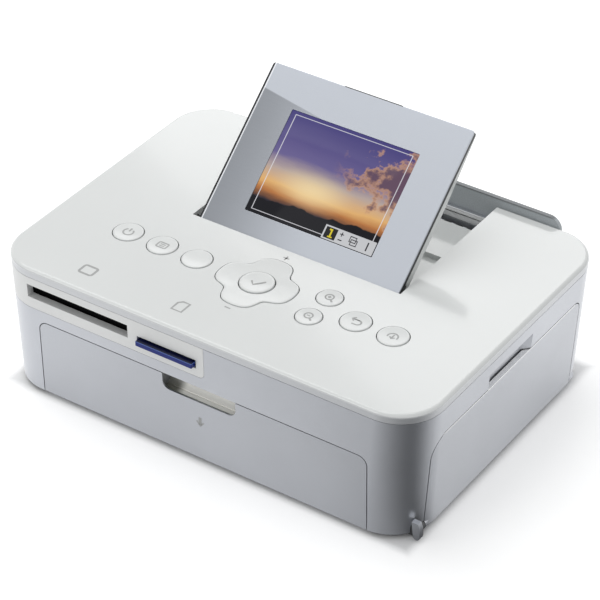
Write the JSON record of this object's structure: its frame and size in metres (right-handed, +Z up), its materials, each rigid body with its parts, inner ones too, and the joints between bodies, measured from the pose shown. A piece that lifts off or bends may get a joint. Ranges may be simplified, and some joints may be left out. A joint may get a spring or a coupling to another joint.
{
  "type": "compact photo printer",
  "caption": "Compact dye-sublimation photo printer with a tilting colour screen, top keys, card slots, a fold-down paper door and a side ink door.",
  "frame": {"origin": "middle of the footprint at the plane the feet stand on", "axes": "+X to the printer's right, +Y to its back, +Z up; the card slots and paper door are on the -Y side"},
  "size_m": [0.1779, 0.1302, 0.0955],
  "materials": {
    "white_gloss": "glossy white moulded ABS",
    "key_white": "glossy white key cap",
    "silver_paint": "satin silver paint on ABS",
    "dark_grey": "satin dark grey ABS",
    "rubber_black": "matt black rubber",
    "steel": "zinc-plated pressed steel",
    "connector_metal": "plated connector shell",
    "screen_silver": "satin silver anodised plate",
    "screen_glass": "polished clear screen window over the display",
    "black_plastic": "black ABS",
    "circuit_board": "green solder mask",
    "card_navy": "navy moulded plastic",
    "brass": "turned brass",
    "motor_metal": "drawn steel can",
    "gear_plastic": "natural acetal",
    "aluminium": "extruded aluminium",
    "ceramic": "glazed ceramic strip",
    "cassette_plastic": "pale grey moulded plastic",
    "ribbon_film": "wound dye ribbon",
    "latch_orange": "orange moulded plastic"
  },
  "bodies": {
    "printer": {"top_cover": "white_gloss", "side_casing": "silver_paint", "base_tray": "silver_paint", "lcd_well": "white_gloss", "card_bezel": "silver_paint", "rear_panel": "dark_grey", "rubber_feet": "rubber_black", "case_screws": "steel", "ink_door_pins": "steel", "button_board": "circuit_board", "tact_switches": "black_plastic", "main_board": "circuit_board", "board_screws": "steel", "board_chips": "black_plastic", "cf_connector": "black_plastic", "sd_connector": "connector_metal", "io_board": "circuit_board", "dc_jack": "black_plastic", "usb_device_port": "connector_metal", "usb_host_port": "connector_metal", "engine_chassis": "steel", "shaft_bushings": "brass", "drive_motor": "motor_metal", "motor_plate": "steel", "ink_cassette": "cassette_plastic"},
    "front_door": {"front_door": "silver_paint"},
    "ink_door": {"ink_door": "silver_paint"},
    "screen": {"lcd_front_plate": "screen_silver", "lcd_window": "screen_glass", "lcd_panel": "black_plastic", "lcd_frame": "black_plastic", "lcd_back_cover": "white_gloss"},
    "power_key": {"power_button": "key_white"},
    "menu_key": {"menu_button": "key_white"},
    "edit_key": {"edit_button": "key_white"},
    "back_key": {"back_button": "key_white"},
    "print_key": {"print_button": "key_white"},
    "zoom_in_key": {"zoom_in_button": "key_white"},
    "zoom_out_key": {"zoom_out_button": "key_white"},
    "pad_ring": {"nav_pivot_ring": "black_plastic"},
    "pad": {"nav_pad": "key_white"},
    "ok_key": {"ok_button": "key_white"},
    "card": {"memory_card": "card_navy"},
    "platen": {"platen_roller": "rubber_black"},
    "drive": {"drive_roller": "steel", "drive_gear": "gear_plastic"},
    "pinch": {"pinch_roller": "steel"},
    "feed": {"feed_roller": "rubber_black", "feed_gear": "gear_plastic"},
    "pinion": {"motor_pinion": "brass"},
    "idler": {"idler_gear": "gear_plastic"},
    "reverser": {"reversing_gear": "gear_plastic"},
    "head": {"head_arm": "steel", "heat_sink": "aluminium", "thermal_head": "ceramic"},
    "supply": {"supply_spool": "gear_plastic", "supply_ribbon": "ribbon_film"},
    "take_up": {"take_up_spool": "gear_plastic", "take_up_ribbon": "ribbon_film"},
    "latch": {"cassette_latch": "latch_orange"}
  },
  "joints": [
    {"name": "front_door_hinge", "type": "hinge", "parent": "printer", "child": "front_door", "pos_m": [0.0004, -0.0586, 0.0052], "axis": [1, 0, 0], "range_deg": [0, 90]},
    {"name": "ink_door_hinge", "type": "hinge", "parent": "printer", "child": "ink_door", "pos_m": [0.0839, -0.0014, 0.0034], "axis": [0, 1, 0], "range_deg": [0, 85]},
    {"name": "screen_hinge", "type": "hinge", "parent": "printer", "child": "screen", "pos_m": [0.0004, -0.00014, 0.0524], "axis": [1, 0, 0], "range_deg": [-40.7, 4.3]},
    {"name": "power_press", "type": "slide", "parent": "printer", "child": "power_key", "axis": [0, 0, -1], "range_m": [0, 0.0005], "stiffness_N_per_m": 800},
    {"name": "menu_press", "type": "slide", "parent": "printer", "child": "menu_key", "axis": [0, 0, -1], "range_m": [0, 0.0005], "stiffness_N_per_m": 800},
    {"name": "edit_press", "type": "slide", "parent": "printer", "child": "edit_key", "axis": [0, 0, -1], "range_m": [0, 0.0005], "stiffness_N_per_m": 800},
    {"name": "back_press", "type": "slide", "parent": "printer", "child": "back_key", "axis": [0, 0, -1], "range_m": [0, 0.0005], "stiffness_N_per_m": 800},
    {"name": "print_press", "type": "slide", "parent": "printer", "child": "print_key", "axis": [0, 0, -1], "range_m": [0, 0.0005], "stiffness_N_per_m": 800},
    {"name": "zoom_in_press", "type": "slide", "parent": "printer", "child": "zoom_in_key", "axis": [0, 0, -1], "range_m": [0, 0.0005], "stiffness_N_per_m": 800},
    {"name": "zoom_out_press", "type": "slide", "parent": "printer", "child": "zoom_out_key", "axis": [0, 0, -1], "range_m": [0, 0.0005], "stiffness_N_per_m": 800},
    {"name": "ok_press", "type": "slide", "parent": "printer", "child": "ok_key", "axis": [0, 0, -1], "range_m": [0, 0.0005], "stiffness_N_per_m": 800},
    {"name": "pad_left_right", "type": "hinge", "parent": "printer", "child": "pad_ring", "pos_m": [-0.0006, -0.0254, 0.051], "axis": [0, 1, 0], "range_deg": [-1.8, 1.8], "stiffness_Nm_per_rad": 0.3},
    {"name": "pad_up_down", "type": "hinge", "parent": "pad_ring", "child": "pad", "pos_m": [-0.0006, -0.0254, 0.051], "axis": [1, 0, 0], "range_deg": [-1.8, 1.8], "stiffness_Nm_per_rad": 0.3},
    {"name": "card_pull", "type": "slide", "parent": "printer", "child": "card", "axis": [0, -1, 0], "range_m": [0, 0.026]},
    {"name": "platen_turn", "type": "hinge", "parent": "printer", "child": "platen", "pos_m": [0, 0.009, 0.01], "axis": [1, 0, 0], "continuous": true},
    {"name": "drive_turn", "type": "hinge", "parent": "printer", "child": "drive", "pos_m": [0, 0.046, 0.0195], "axis": [1, 0, 0], "continuous": true},
    {"name": "pinch_turn", "type": "hinge", "parent": "printer", "child": "pinch", "pos_m": [0, 0.046, 0.0111], "axis": [1, 0, 0], "continuous": true},
    {"name": "feed_turn", "type": "hinge", "parent": "printer", "child": "feed", "pos_m": [0, -0.033, 0.027], "axis": [1, 0, 0], "continuous": true},
    {"name": "pinion_turn", "type": "hinge", "parent": "printer", "child": "pinion", "pos_m": [-0.06, 0.02828, 0.0195], "axis": [1, 0, 0], "continuous": true},
    {"name": "idler_turn", "type": "hinge", "parent": "printer", "child": "idler", "pos_m": [-0.06, 0.00896, 0.0195], "axis": [1, 0, 0], "continuous": true},
    {"name": "reverser_turn", "type": "hinge", "parent": "printer", "child": "reverser", "pos_m": [-0.06, -0.01516, 0.01958], "axis": [1, 0, 0], "continuous": true},
    {"name": "head_lower", "type": "hinge", "parent": "printer", "child": "head", "pos_m": [0, 0.0445, 0.0372], "axis": [1, 0, 0], "range_deg": [0, 3.6]},
    {"name": "supply_turn", "type": "hinge", "parent": "printer", "child": "supply", "pos_m": [0, -0.012, 0.027], "axis": [1, 0, 0], "continuous": true},
    {"name": "take_up_turn", "type": "hinge", "parent": "printer", "child": "take_up", "pos_m": [0, 0.03, 0.027], "axis": [1, 0, 0], "continuous": true},
    {"name": "latch_turn", "type": "hinge", "parent": "printer", "child": "latch", "pos_m": [0.079, 0.0439, 0.027], "axis": [1, 0, 0], "range_deg": [-75, 0]}
  ],
  "couplings": [
    {"joint": "pinion_turn", "follows": "drive_turn", "ratio": -2.6667},
    {"joint": "idler_turn", "follows": "drive_turn", "ratio": 0.88889},
    {"joint": "reverser_turn", "follows": "drive_turn", "ratio": -1.3333},
    {"joint": "feed_turn", "follows": "drive_turn", "ratio": 1.3333},
    {"joint": "pinch_turn", "follows": "drive_turn", "ratio": -1.1842},
    {"joint": "take_up_turn", "follows": "supply_turn", "ratio": 1.4545}
  ]
}
